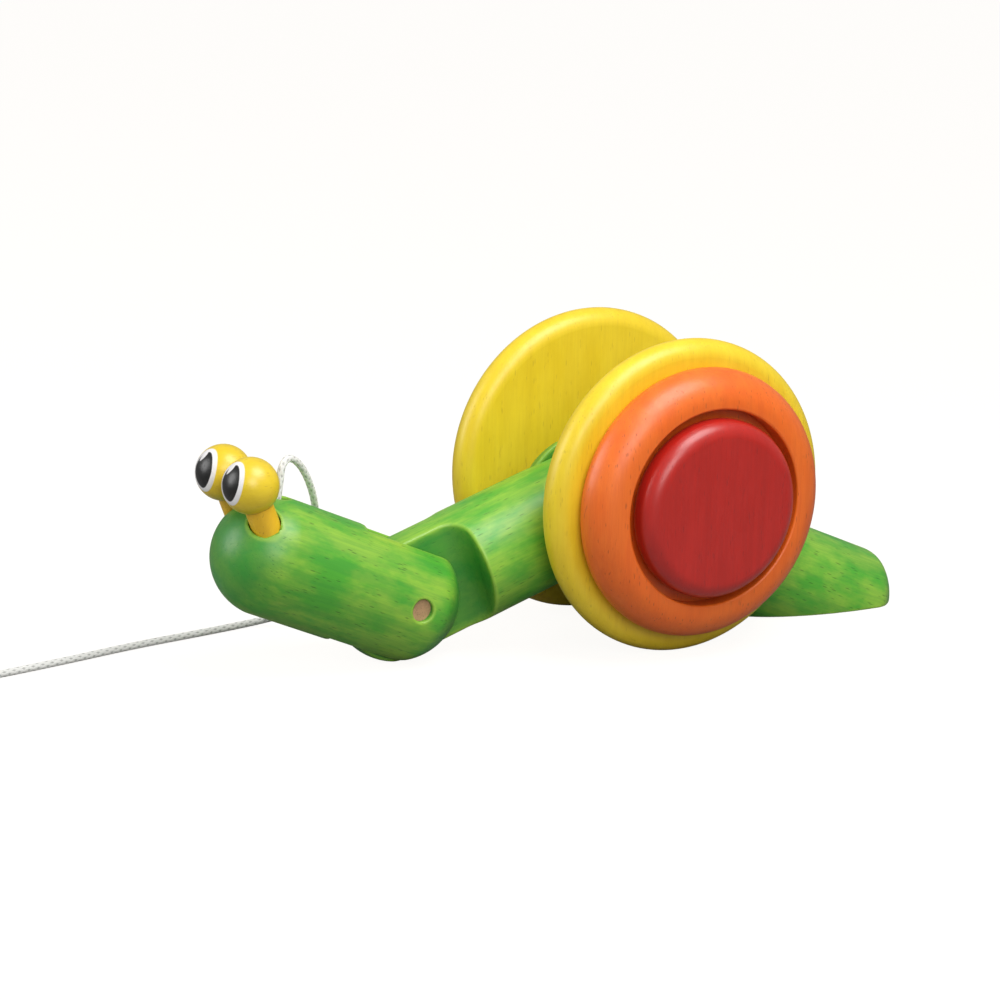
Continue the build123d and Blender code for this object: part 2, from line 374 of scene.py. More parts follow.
def surface(distance, rod, low, high, step):
    """Closed skin of the solid where distance is below nothing. The space along the rod's own axes is
    cut into cubes of one step. Each cube that the skin crosses holds one vertex, where the tangent planes
    at its crossed edges meet best, so that edges stay straight. A crossed edge joins the vertices of its
    four cubes into one face. The vertices are then moved onto the skin along the slope."""
    counts = [int(math.ceil((b - a) / step)) + 1 for a, b in zip(low, high)]
    grids = np.meshgrid(*[a + step * np.arange(c) for a, c in zip(low, counts)], indexing="ij")
    turn = np.stack([rod.direction, [0.0, 1.0, 0.0], rod.up])
    if np.linalg.det(turn) < 0:
        turn[1] = -turn[1]
    lattice = np.stack(grids, -1) @ turn + rod.start
    value = distance(lattice)
    inside = value < 0
    spans = np.array([c - 1 for c in counts])
    cells, places, slopes, quads = [], [], [], []
    for axis in range(3):
        other, third = (axis + 1) % 3, (axis + 2) % 3
        near = [slice(None)] * 3
        far = [slice(None)] * 3
        near[axis], far[axis] = slice(None, -1), slice(1, None)
        crossed = np.argwhere(inside[tuple(near)] != inside[tuple(far)])
        ends = crossed.copy()
        ends[:, axis] += 1
        a, b = value[tuple(crossed.T)], value[tuple(ends.T)]
        part = (a / (a - b))[:, None]
        place = lattice[tuple(crossed.T)] * (1 - part) + lattice[tuple(ends.T)] * part
        around = []
        for back, down in ((0, 0), (1, 0), (1, 1), (0, 1)):
            cell = crossed.copy()
            cell[:, other] -= back
            cell[:, third] -= down
            around.append(np.ravel_multi_index(cell.T, spans))
        around = np.stack(around, -1)
        outward = inside[tuple(crossed.T)]
        quads.append(np.where(outward[:, None], around, around[:, ::-1]))
        cells.append(around.ravel())
        places.append(np.repeat(place, 4, axis=0))
        slopes.append(np.repeat(unit(slope(distance, place, 0.02 * MM)[0]), 4, axis=0))
    used, which = np.unique(np.concatenate(cells), return_inverse=True)
    which = which.ravel()
    places, slopes = np.concatenate(places), np.concatenate(slopes)
    share = 1.0 / np.bincount(which)

    def mean(values):
        columns = values.reshape(len(values), -1).T
        sums = [np.bincount(which, weights=column) * share for column in columns]
        return np.stack(sums, -1).reshape((-1,) + values.shape[1:])

    middle = mean(places)
    planes = mean(slopes[:, :, None] * slopes[:, None, :])
    pulls = mean(slopes * ((places - middle[which]) * slopes).sum(-1, keepdims=True))
    move = np.linalg.solve(planes + 0.03 * np.eye(3), pulls[..., None])[..., 0]
    points = middle + np.clip(move, -0.8 * step, 0.8 * step)
    for _ in range(3):
        rise = slope(distance, points, 0.02 * MM)[0]
        points = points - distance(points)[:, None] * rise / (rise * rise).sum(-1, keepdims=True)
    normals = unit(slope(distance, points, 0.05 * MM)[0])
    faces = np.searchsorted(used, np.concatenate(quads))
    return points, faces.tolist(), normals


def carved_rod(name, distance, rod, span, room, step, body, material, node):
    """A rod's skin as a piece that stands for its CAD node, looked for within span along the rod and
    within room above and below its turned surface. It keeps how deep each vertex lies below the turned
    surface, for the stain, and how sharp the edge is there, for the lighter outward edges (edge wear and
    painted highlight) and the painted shade in inward ones."""
    aside, half = rod.radius + 2.6 * step, rod.radius + room
    low, high = (span[0], -aside, -half), (span[1], aside, half)
    points, faces, normals = surface(distance, rod, low, high, step)
    piece = add_piece(name, points, faces, body, material, normals)
    _, y, n = rod.axes(points)
    sharp = slope(distance, points, 1.1 * MM)[1]
    note(piece, "cut_depth", np.clip((rod.radius - np.hypot(y, n)) / (3 * MM), 0, 1))
    note(piece, "edge", np.clip(sharp * 5, -1, 1))
    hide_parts(node)
    return piece


# Finishes


MEAN_ROUGHNESS = 0.46


def group_node(tree, group, **values):
    """A shader group placed in a material's tree, with its own input values."""
    node = tree.nodes.new("ShaderNodeGroup")
    node.node_tree = group
    for name, value in values.items():
        node.inputs[name.replace("_", " ")].default_value = value
    return node


def math_node(tree, operation, a, b=None, clamp=False):
    """A math node on two values, each a number or a socket."""
    node = tree.nodes.new("ShaderNodeMath")
    node.operation, node.use_clamp = operation, clamp
    for socket, value in zip(node.inputs, (a, b)):
        if isinstance(value, bpy.types.NodeSocket):
            tree.links.new(value, socket)
        elif value is not None:
            socket.default_value = value
    return node.outputs[0]


def ramp(tree, value, low, high, start=0.0, end=1.0, kind="SMOOTHSTEP"):
    """A value carried from the range low..high to start..end."""
    node = tree.nodes.new("ShaderNodeMapRange")
    node.interpolation_type, node.clamp = kind, True
    tree.links.new(value, node.inputs["Value"])
    names = ("From Min", "From Max", "To Min", "To Max")
    for name, number in zip(names, (low, high, start, end)):
        node.inputs[name].default_value = number
    return node.outputs["Result"]


def mix(tree, factor, a, b, blend="MIX"):
    """A colour mix of two colours, each a colour or a socket."""
    node = tree.nodes.new("ShaderNodeMix")
    node.data_type, node.blend_type = "RGBA", blend
    for socket, value in ((node.inputs[0], factor), (node.inputs[6], a), (node.inputs[7], b)):
        if isinstance(value, bpy.types.NodeSocket):
            tree.links.new(value, socket)
        elif isinstance(value, (int, float)):
            socket.default_value = value
        else:
            socket.default_value = (*tuple(value)[:3], 1.0)
    return node.outputs[2]


def stretch(tree, vector, along, across):
    """Pattern coordinates scaled along the grain and across it."""
    node = tree.nodes.new("ShaderNodeVectorMath")
    node.operation = "MULTIPLY"
    tree.links.new(vector, node.inputs[0])
    node.inputs[1].default_value = (along, across, across)
    return node.outputs[0]


def noise(tree, vector, detail=3.0, rough=0.5):
    """A noise of scale one on these coordinates."""
    node = tree.nodes.new("ShaderNodeTexNoise")
    node.inputs["Scale"].default_value = 1.0
    node.inputs["Detail"].default_value = detail
    node.inputs["Roughness"].default_value = rough
    tree.links.new(vector, node.inputs["Vector"])
    return node.outputs["Fac"]


def new_group(name, inputs, outputs):
    """A shader node group with named sockets, and its input and output nodes."""
    group = bpy.data.node_groups.new(name, "ShaderNodeTree")
    for socket, kind, value in inputs:
        made = group.interface.new_socket(name=socket, in_out="INPUT", socket_type="NodeSocket" + kind)
        if value is not None:
            made.default_value = value
    for socket, kind in outputs:
        group.interface.new_socket(name=socket, in_out="OUTPUT", socket_type="NodeSocket" + kind)
    return group, group.nodes.new("NodeGroupInput").outputs, group.nodes.new("NodeGroupOutput").inputs


def wood_pattern():
    """What a fine tropical wood shows under stain, with its grain along X: blotches where the stain
    went in unevenly, long fibre streaks, and short dark pores."""
    if "Wood pattern" in bpy.data.node_groups:
        return bpy.data.node_groups["Wood pattern"]
    group, given, out = new_group(
        "Wood pattern",
        [("Vector", "Vector", None)],
        [("Blotch", "Float"), ("Streak", "Float"), ("Pore", "Float"), ("Height", "Float")],
    )
    vector = given["Vector"]
    blotch = ramp(group, noise(group, stretch(group, vector, 55.0, 120.0), 4.0, 0.6), 0.34, 0.66)
    wide = noise(group, stretch(group, vector, 26.0, 420.0), 3.0, 0.6)
    fine = noise(group, stretch(group, vector, 90.0, 2100.0), 2.0, 0.6)
    streak = ramp(group, math_node(group, "ADD", math_node(group, "MULTIPLY", wide, 0.62),
                                   math_node(group, "MULTIPLY", fine, 0.38)), 0.36, 0.64)
    cell = group.nodes.new("ShaderNodeTexVoronoi")
    cell.inputs["Scale"].default_value = 1.0
    group.links.new(stretch(group, vector, 210.0, 1250.0), cell.inputs["Vector"])
    dot = ramp(group, cell.outputs["Distance"], 0.12, 0.30, 1.0, 0.0)
    patch = ramp(group, noise(group, stretch(group, vector, 140.0, 420.0), 2.0, 0.5), 0.46, 0.60)
    pore = math_node(group, "MULTIPLY", dot, patch)
    height = math_node(group, "SUBTRACT", math_node(group, "MULTIPLY", streak, 0.35), pore)
    for socket, value in (("Blotch", blotch), ("Streak", streak), ("Pore", pore), ("Height", height)):
        group.links.new(value, out[socket])
    return group


def stain_colour():
    """The colour of stained wood: the stain, lighter or deeper by blotch and streak, darker in pores."""
    if "Stain colour" in bpy.data.node_groups:
        return bpy.data.node_groups["Stain colour"]
    group, given, out = new_group(
        "Stain colour",
        [("Stain", "Color", (1, 1, 1, 1)), ("Light", "Color", (1, 1, 1, 1)), ("Deep", "Color", (0, 0, 0, 1)),
         ("Pore colour", "Color", (0, 0, 0, 1)), ("Blotch", "Float", 0.5), ("Streak", "Float", 0.5),
         ("Pore", "Float", 0.0), ("Blotch amount", "Float", 0.5), ("Streak amount", "Float", 0.3),
         ("Pore amount", "Float", 0.5)],
        [("Color", "Color"), ("Roughness", "Float")],
    )
    even = mix(group, math_node(group, "MULTIPLY", given["Blotch"], given["Blotch amount"]),
               given["Stain"], given["Light"])
    dark = math_node(group, "MULTIPLY", math_node(group, "SUBTRACT", 1.0, given["Streak"]),
                     given["Streak amount"])
    streaked = mix(group, dark, even, given["Deep"])
    pored = mix(group, math_node(group, "MULTIPLY", given["Pore"], given["Pore amount"]), streaked,
                given["Pore colour"])
    rough = math_node(group, "ADD", math_node(group, "MULTIPLY", given["Pore"], 0.15),
                      math_node(group, "MULTIPLY", given["Streak"], -0.06))
    group.links.new(pored, out["Color"])
    group.links.new(math_node(group, "ADD", rough, MEAN_ROUGHNESS), out["Roughness"])
    return group


def new_material(name):
    """An empty node material with a Principled shader, its tree and that shader."""
    material = bpy.data.materials.new(name)
    material.use_nodes = True
    tree = material.node_tree
    return material, tree, tree.nodes["Principled BSDF"]


def bump(tree, shader, height, strength, distance):
    """A height fed to a shader's normal."""
    node = tree.nodes.new("ShaderNodeBump")
    node.inputs["Strength"].default_value = strength
    node.inputs["Distance"].default_value = distance
    tree.links.new(height, node.inputs["Height"])
    tree.links.new(node.outputs["Normal"], shader.inputs["Normal"])


def read(tree, name):
    """The piece's own value of this name."""
    node = tree.nodes.new("ShaderNodeAttribute")
    node.attribute_type, node.attribute_name = "GEOMETRY", name
    return node


def stained(name, stain, light, deep, pore, pitch=0.0, shift=(0.0, 0.0, 0.0), amounts=(0.5, 0.3, 0.5),
            gloss=0.25, cut=None, sheen=MEAN_ROUGHNESS):
    """Stained wood under a thin satin lacquer, with its grain at a pitch above +X. cut is the colour of
    cut faces, read from a carved rod's values. With cut given, outward edges are also painted lighter
    (edge wear together with a painted highlight) and inward edges darker (painted shade)."""
    material, tree, shader = new_material(name)
    place = tree.nodes.new("ShaderNodeTexCoord")
    turn = tree.nodes.new("ShaderNodeMapping")
    turn.inputs["Rotation"].default_value = (0.0, pitch, 0.0)
    turn.inputs["Location"].default_value = shift
    tree.links.new(place.outputs["Object"], turn.inputs["Vector"])
    pattern = group_node(tree, wood_pattern())
    tree.links.new(turn.outputs["Vector"], pattern.inputs["Vector"])
    tint = group_node(tree, stain_colour(), Stain=(*stain, 1), Light=(*light, 1), Deep=(*deep, 1),
                      Pore_colour=(*pore, 1), Blotch_amount=amounts[0], Streak_amount=amounts[1],
                      Pore_amount=amounts[2])
    for socket in ("Blotch", "Streak", "Pore"):
        tree.links.new(pattern.outputs[socket], tint.inputs[socket])
    shade = tint.outputs["Color"]
    if cut is not None:
        depth = math_node(tree, "MULTIPLY", read(tree, "cut_depth").outputs["Fac"], 0.7)
        shade = mix(tree, depth, shade, cut)
        # Outward edges are mixed toward the light stain: partly edge wear, partly a painted highlight where
        # the rounded edges catch the light.
        edge_wear_and_highlight = ramp(tree, read(tree, "edge").outputs["Fac"], 0.15, 0.8, 0.0, 0.45)
        shade = mix(tree, edge_wear_and_highlight, shade, light)
        # Inward edges (coves, slot corners, hole mouths) are mixed toward half the cut colour: painted shade
        # in the creases.
        inner = ramp(tree, read(tree, "edge").outputs["Fac"], -0.1, -0.7, 0.0, 0.55)
        shade = mix(tree, inner, shade, tuple(0.5 * c for c in cut))
    tree.links.new(shade, shader.inputs["Base Color"])
    rough = math_node(tree, "ADD", tint.outputs["Roughness"], sheen - MEAN_ROUGHNESS)
    tree.links.new(rough, shader.inputs["Roughness"])
    shader.inputs["Coat Weight"].default_value = gloss
    shader.inputs["Coat Roughness"].default_value = 0.28
    bump(tree, shader, pattern.outputs["Height"], 0.35, 0.12 * MM)
    return material


def cord_finish(shade):
    """Braided cotton: two sets of strands cross round the cord, in the piece's own coordinates of
    length along it and share of a turn round it. The grooves between the strands are painted darker, as
    shade."""
    material, tree, shader = new_material("white_cord")
    strands = read(tree, "braid").outputs["Fac"]
    fuzz = noise(tree, stretch(tree, tree.nodes.new("ShaderNodeTexCoord").outputs["Object"], 2600.0, 2600.0))
    # The cord's colour falls to half between the strands' crests: painted shade in the braid's grooves.
    groove_shaded_tone = mix(tree, ramp(tree, strands, 0.0, 0.75), tuple(0.50 * c for c in shade), shade)
    tree.links.new(mix(tree, ramp(tree, fuzz, 0.3, 0.7, 0.0, 0.18), groove_shaded_tone, (0.62, 0.62, 0.56)),
                   shader.inputs["Base Color"])
    shader.inputs["Roughness"].default_value = 0.85
    shader.inputs["Sheen Weight"].default_value = 0.3
    shader.inputs["Sheen Roughness"].default_value = 0.5
    height = math_node(tree, "ADD", strands, math_node(tree, "MULTIPLY", fuzz, 0.3))
    bump(tree, shader, height, 0.5, 0.15 * MM)
    return material


def oval(tree, x, z, middle, half, power=2.0):
    """How far outside an oval a place is: ((|x|/a)^p + (|z|/b)^p)^(1/p), which is 1 on its line."""
    terms = []
    for value, centre, reach in ((x, middle[0], half[0]), (z, middle[1], half[1])):
        share = math_node(tree, "DIVIDE", math_node(tree, "SUBTRACT", value, centre), reach)
        terms.append(math_node(tree, "POWER", math_node(tree, "ABSOLUTE", share), power))
    return math_node(tree, "POWER", math_node(tree, "ADD", *terms), 1.0 / power)


def filled(tree, distance, soft):
    """1 inside an oval and 0 outside it, with a soft line."""
    return ramp(tree, distance, 1 - soft, 1 + soft, 1.0, 0.0, "LINEAR")


def eye_finish(yellow, white, black):
    """Stained ball with an eye painted on its front in the ball's own coordinates: a white oval, a black
    pupil on it, and a small white leaf on the pupil."""
    material = stained(
        "yellow_stain_eyes", yellow, (0.93, 0.70, 0.05), (0.60, 0.36, 0.012), (0.34, 0.17, 0.01),
        amounts=(0.35, 0.18, 0.35), gloss=0.35, sheen=0.40,
    )
    tree = material.node_tree
    shader = tree.nodes["Principled BSDF"]
    wood = shader.inputs["Base Color"].links[0].from_socket
    wood_rough = shader.inputs["Roughness"].links[0].from_socket
    wood_normal = shader.inputs["Normal"].links[0].from_socket
    split = tree.nodes.new("ShaderNodeSeparateXYZ")
    tree.links.new(read(tree, "eye_place").outputs["Vector"], split.inputs[0])
    x, z, front = split.outputs
    facing = ramp(tree, front, 0.0, 0.04, kind="LINEAR")
    crisp, blurred = 0.018, 0.06
    paint = filled(tree, oval(tree, x, z, (0.0, 0.02), (0.60, 0.76), 2.0), crisp)
    paint = math_node(tree, "MULTIPLY", paint, facing)
    dark = filled(tree, oval(tree, x, z, (0.02, 0.02), (0.44, 0.635), 1.8), crisp)
    rise = math_node(tree, "SUBTRACT", z, 0.48)
    lean = math_node(tree, "ADD", math_node(tree, "MULTIPLY", rise, -0.36), x)
    leaf = filled(tree, oval(tree, lean, z, (-0.15, 0.47), (0.105, 0.20), 1.5), blurred)
    shade = mix(tree, paint, wood, white)
    shade = mix(tree, math_node(tree, "MULTIPLY", dark, facing), shade, black)
    leaf = math_node(tree, "MULTIPLY", leaf, facing)
    shade = mix(tree, leaf, shade, white)
    tree.links.new(shade, shader.inputs["Base Color"])
    rough = tree.nodes.new("ShaderNodeMix")
    tree.links.new(paint, rough.inputs[0])
    tree.links.new(wood_rough, rough.inputs[2])
    rough.inputs[3].default_value = 0.36
    tree.links.new(rough.outputs[0], shader.inputs["Roughness"])
    film = tree.nodes.new("ShaderNodeBump")
    film.inputs["Strength"].default_value = 0.5
    film.inputs["Distance"].default_value = 0.05 * MM
    tree.links.new(math_node(tree, "ADD", paint, dark), film.inputs["Height"])
    tree.links.new(wood_normal, film.inputs["Normal"])
    tree.links.new(film.outputs["Normal"], shader.inputs["Normal"])
    return material


def dress(node, material):
    """A CAD node keeps its shape and takes a finish."""
    piece = frame["nodes"][node]
    piece.data.materials.clear()
    piece.data.materials.append(material)


# Operators


def sizes():
    return bpy.context.scene.inchworm_sizes


def colours():
    return bpy.context.scene.inchworm_colours


CAMERA_ANGLES = (-30.64, 13.96, 1.51)       # azimuth, elevation and roll, in degrees
CAMERA_TARGET = (-25.22, 0.0, 47.16)        # millimetres
CAMERA_AWAY = 966.21
CAMERA_FOCUS = 3.08276                      # focal length as a share of the sensor's width
SENSOR = 36.0
FLOOR_HALF = 12.0                           # metres
FLOOR_CELLS = 20

# Name, direction from the toy, distance and size in metres, and power in watts.
SOFTBOXES = (
    ("left_softbox", (-0.85, 0.38, 0.36), 1.3, 0.75, 6.0),
    ("top_softbox", (0.06, -0.44, 0.90), 0.5, 0.35, 2.0),
    ("front_softbox", (-0.35, -0.95, 0.55), 1.6, 0.9, 9.0),
)
SOFTBOX_LIFT = 0.04                         # the toy's middle above the floor


def add_camera(scene):
    """A camera at its distance from the target, looking at it, and rolled."""
    azimuth, elevation, roll = (math.radians(x) for x in CAMERA_ANGLES)
    target, away = np.array(CAMERA_TARGET) * MM, CAMERA_AWAY * MM
    back = np.array([
        math.sin(azimuth) * math.cos(elevation),
        -math.cos(azimuth) * math.cos(elevation),
        math.sin(elevation),
    ])
    level = np.array([math.cos(azimuth), math.sin(azimuth), 0.0])
    upright = np.cross(back, level)
    side = math.cos(roll) * level + math.sin(roll) * upright
    top = -math.sin(roll) * level + math.cos(roll) * upright
    lens = bpy.data.cameras.new("camera")
    lens.sensor_width, lens.lens = SENSOR, CAMERA_FOCUS * SENSOR
    lens.clip_start, lens.clip_end = 0.05, 50.0
    camera = bpy.data.objects.new("camera", lens)
    turn = np.eye(4)
    turn[:3, 0], turn[:3, 1], turn[:3, 2], turn[:3, 3] = side, top, back, target + away * back
    camera.matrix_world = Matrix(turn.tolist())
    scene.collection.objects.link(camera)
    scene.camera = camera


def floor_finish():
    """A floor that looks evenly bright, with faint shadows, and throws only a little light back up."""
    finish, tree, shader = new_material("studio_floor")
    shader.inputs["Base Color"].default_value = (0.25, 0.25, 0.25, 1)
    shader.inputs["Roughness"].default_value = 0.9
    shader.inputs["Specular IOR Level"].default_value = 0.0
    shaded = tree.nodes.new("ShaderNodeBsdfDiffuse")
    shaded.inputs["Color"].default_value = tuple(0.12 * c for c in colours().floor) + (1,)
    glow = tree.nodes.new("ShaderNodeEmission")
    glow.inputs["Color"].default_value = (*colours().floor, 1)
    glow.inputs["Strength"].default_value = 0.955
    bright = tree.nodes.new("ShaderNodeAddShader")
    tree.links.new(shaded.outputs[0], bright.inputs[0])
    tree.links.new(glow.outputs[0], bright.inputs[1])
    choice = tree.nodes.new("ShaderNodeMixShader")
    ray = tree.nodes.new("ShaderNodeLightPath")
    tree.links.new(ray.outputs["Is Camera Ray"], choice.inputs[0])
    tree.links.new(shader.outputs[0], choice.inputs[1])
    tree.links.new(bright.outputs[0], choice.inputs[2])
    tree.links.new(choice.outputs[0], tree.nodes["Material Output"].inputs["Surface"])
    return finish


def add_floor(scene):
    """A level grid of squares at height zero, facing up."""
    row = FLOOR_CELLS + 1
    across = np.linspace(-1, 1, row)
    u, v = np.meshgrid(across, across, indexing="ij")
    points = np.stack([u * FLOOR_HALF, v * FLOOR_HALF, np.zeros_like(u)], -1).reshape(-1, 3)
    i, j = np.meshgrid(np.arange(FLOOR_CELLS), np.arange(FLOOR_CELLS), indexing="ij")
    corners = [i * row + j, (i + 1) * row + j, (i + 1) * row + j + 1, i * row + j + 1]
    mesh = bpy.data.meshes.new("floor")
    mesh.from_pydata(points.tolist(), [], np.stack(corners, -1).reshape(-1, 4).tolist())
    mesh.materials.append(floor_finish())
    floor = bpy.data.objects.new("floor", mesh)
    scene.collection.objects.link(floor)


def add_lights(scene):
    """A dim, even surround, and round softboxes that face the toy."""
    world = bpy.data.worlds.new("studio")
    world.use_nodes = True
    surround = world.node_tree.nodes["Background"]
    surround.inputs["Color"].default_value = (1.0, 0.99, 0.98, 1)
    surround.inputs["Strength"].default_value = 0.30
    scene.world = world
    for name, towards, far, size, power in SOFTBOXES:
        lamp = bpy.data.lights.new(name, "AREA")
        lamp.shape, lamp.size, lamp.energy = "DISK", size, power
        holder = bpy.data.objects.new(name, lamp)
        place = Vector(unit(towards) * far)
        holder.location = place + Vector((0, 0, SOFTBOX_LIFT))
        holder.rotation_euler = place.to_track_quat("Z", "Y").to_euler()
        scene.collection.objects.link(holder)


class INCHWORM_OT_stage(bpy.types.Operator):
    """Camera, pale floor and soft lights"""

    bl_idname = "inchworm.stage"
    bl_label = "Studio"

    def execute(self, context):
        add_camera(context.scene)
        context.scene.view_settings.view_transform = "Standard"
        add_floor(context.scene)
        add_lights(context.scene)
        return {"FINISHED"}


# The cord's control points in millimetres: from the head to the coil, and from the coil to the bead.
CORD_ROUTE = [
    (-103.4, 0.0, 52.4),
    (-102.0, 0.3, 60.0),
    (-101.3, 0.8, 65.5),
    (-97.6, 2.8, 67.6),
    (-92.0, 5.8, 63.6),
    (-86.4, 9.8, 55.2),
    (-81.5, 16.0, 45.0),
    (-77.0, 26.0, 32.0),
    (-74.9, 35.0, 17.0),
    (-77.4, 45.0, 4.5),
    (-84.9, 51.4, 1.25),
    (-103.9, 47.9, 1.25),
    (-129.9, 44.1, 1.25),
    (-157.9, 37.6, 1.25),
    (-182.9, 32.9, 1.25),
    (-200.9, 31.1, 1.25),
]
CORD_END_ROUTE = [
    (-221.8, 21.8, 5.85),
    (-223.3, 15.6, 6.6),
    (-227.8, 9.6, 7.5),
    (-234.3, 0.8, 7.5),
]


def coil_points():
    """Turns of the coil between the two parts of the route: two side by side on the floor, two on them,
    and two on top. Thirteen points a turn."""
    centre = np.array([-207.9, 18.0])
    turns = 6.19
    t = np.arange(0.0, turns, 1 / 13)
    at = [0.0, 0.80, 1.20, 1.80, 2.20, 2.80, 3.20, 3.80, 4.20, 4.80, 5.20, 6.2]
    radius = np.interp(t, at, [13.7, 13.7, 11.3, 11.3, 13.7, 13.7, 11.3, 11.3, 11.3, 11.3, 13.7, 13.7])
    height = np.interp(t, at, [1.25, 1.25, 1.25, 1.25, 3.55, 3.55, 3.55, 3.55, 5.8, 5.8, 5.8, 5.8])
    turned_by = np.radians(95.6) + 2 * np.pi * t
    out = radius / math.cos(math.pi / 13)
    return np.stack([centre[0] + out * np.cos(turned_by), centre[1] + out * np.sin(turned_by), height], -1)


CORD_RING = 20             # points in a ring round the cord
STRAND_LAY = 3.4 * MM      # length in which a strand goes once round
KNOT_CORD_R = 1.12 * MM


def braid_height(climb):
    """How high the strands stand on each point of a cord's rings, 0 to 1: the larger of
    cos(4 t + climb) and cos(4 t - climb), for two sets of four strands that cross round the cord."""
    t = np.linspace(0, 2 * np.pi, CORD_RING, endpoint=False)[None]
    climb = climb[:, None]
    return np.maximum(np.cos(4 * t + climb), np.cos(4 * t - climb)) * 0.5 + 0.5


def braided_tube(name, path, radius, braid, material):
    """A cord piece that rides on the head, with its braid kept for the finish."""
    skin, faces = tube(path, radius, CORD_RING)
    piece = add_piece(name, skin, faces, "head", material)
    note(piece, "braid", np.r_[braid.ravel(), 0.5, 0.5])
    return piece


def along_curve(context, route, step):
    """Distances and places at even steps along the NURBS curve of a route's control points."""
    line = bpy.data.curves.new("cord_line", "CURVE")
    line.dimensions = "3D"
    spline = line.splines.new("NURBS")
    spline.points.add(len(route) - 1)
    spline.points.foreach_set("co", np.c_[route, np.ones(len(route))].astype(np.float32).ravel())
    spline.order_u, spline.use_endpoint_u, spline.resolution_u = 3, True, 16
    holder = bpy.data.objects.new("cord_line", line)
    context.scene.collection.objects.link(holder)
    context.view_layer.update()
    graph = context.evaluated_depsgraph_get()
    sampled = bpy.data.meshes.new_from_object(holder.evaluated_get(graph))
    points = np.zeros(len(sampled.vertices) * 3)
    sampled.vertices.foreach_get("co", points)
    points = points.reshape(-1, 3)
    bpy.data.objects.remove(holder)
    bpy.data.meshes.remove(sampled)
    run = np.r_[0.0, np.cumsum(np.linalg.norm(np.diff(points, axis=0), axis=1))]
    at = np.linspace(0.0, float(run[-1]), int(float(run[-1]) / step))
    return at, np.stack([np.interp(at, run, points[:, k]) for k in range(3)], -1)


def knot_path(t, reach):
    """A trefoil knot no wider than a CAD knot of this radius: at angle t it is
    (sin t + 2 sin 2t, -1.25 sin 3t, cos t - 2 cos 2t), scaled."""
    knot = [np.sin(t) + 2 * np.sin(2 * t), -np.sin(3 * t), np.cos(t) - 2 * np.cos(2 * t)]
    return np.stack(knot, -1) * ((reach - KNOT_CORD_R) / 3.0) * np.array([1.0, 1.25, 1.0])


class INCHWORM_OT_cord(bpy.types.Operator):
    """Pull cord from the head to the bead, with its knots"""

    bl_idname = "inchworm.cord"
    bl_label = "Pull cord"

    def execute(self, context):
        route = np.vstack([CORD_ROUTE, coil_points(), CORD_END_ROUTE]) * MM
        at, path = along_curve(context, route, sizes().cord_step)
        braid = braid_height(at / STRAND_LAY * 2 * np.pi)
        radius = sizes().cord_diameter / 2 * (0.93 + 0.07 * braid)
        radius[0] = radius[-1] = 0.7 * sizes().cord_diameter / 2
        material = cord_finish(tuple(colours().cord))
        cord = braided_tube("cord", path, radius, braid, material)
        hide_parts("pull_cord", "cord_coil", "cord_end")

        for node, name in (("bead_knot", "end_knot"), ("cord_anchor_knot", "anchor_knot")):
            t = np.linspace(0, 2 * np.pi, 240)
            knot = knot_path(t, box_size(node)[1] / 2)
            if node == "bead_knot":
                end = unit(np.array(CORD_END_ROUTE[-1]) - np.array(CORD_END_ROUTE[-2]))
                square = np.cross(end, [0.0, 0.0, 1.0])
                knot = knot @ np.stack([unit(square), end, [0.0, 0.0, 1.0]])
            braid = braid_height(14 * t)
            radius = KNOT_CORD_R * (0.93 + 0.07 * braid)
            piece = braided_tube(name, box_middle(node) + knot, radius, braid, material)
            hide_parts(node)
        return {"FINISHED"}


def eye_middle(direction, side):
    """The middle of one side's eye on a head that points in this direction."""
    across = np.array([0.0, box_middle("eye_ball_" + side)[1], 0.0])
    return CROSSING + EYE_ALONG * direction + EYE_ABOVE * square_to(direction) + across


def green(name, pitch, shift):
    """Green stain along one rod."""
    paint = colours()
    return stained(name, tuple(paint.green), tuple(paint.green_light), tuple(paint.green_deep),
                   (0.03, 0.10, 0.01), pitch, shift, (0.75, 0.35, 0.6), 0.22, tuple(paint.green_deep))


class INCHWORM_OT_rods(bpy.types.Operator):
    """Neck link, head and tail, each a carved rod"""

    bl_idname = "inchworm.rods"
    bl_label = "Body rods"

    def execute(self, context):
        size = sizes()
        edges = (size.rod_radius, size.cheek_edge, size.small_edge)
        link = Rod(CROSSING, in_plane(size.link_pitch), *edges)
        head = Rod(CROSSING, in_plane(math.pi - size.head_pitch), *edges)
        tail = Rod(AXLE, in_plane(-size.tail_pitch), *edges)
        step = size.mesh_step
        room, link_room = 2.6 * step, 4.5 * MM
        carved_rod("neck_link_rod", link_distance(link, size.link_length), link,
                   (-22 * MM, size.link_length + 20.5 * MM), link_room, step, "neck",
                   green("green_stain_link", size.link_pitch, (0.0, 0.0, 0.0)), "neck_link")
        eye_axis = unit(head.direction + head.up)
        eyes = [eye_middle(head.direction, side) for side in SIDES]
        mouth = CROSSING + CORD_BORE_ALONG * head.direction + head.radius * head.up
        shape = head_distance(head, size.nose_length, size.nose_ball, eyes, eye_axis, mouth)
        carved_rod("head_rod", shape, head,
                   (-20.5 * MM, size.nose_length + 2 * MM), room, step, "head",
                   green("green_stain_head", -size.head_pitch, (0.2, 0.1, 0.3)), "head")
        carved_rod("tail_rod", tail_distance(tail, size.tail_length, size.tail_ball), tail,
                   (-25.5 * MM, size.tail_length + 2 * MM), room, step, "tail",
                   green("green_stain_tail", -size.tail_pitch, (0.5, 0.3, 0.7)), "tail")
        return {"FINISHED"}


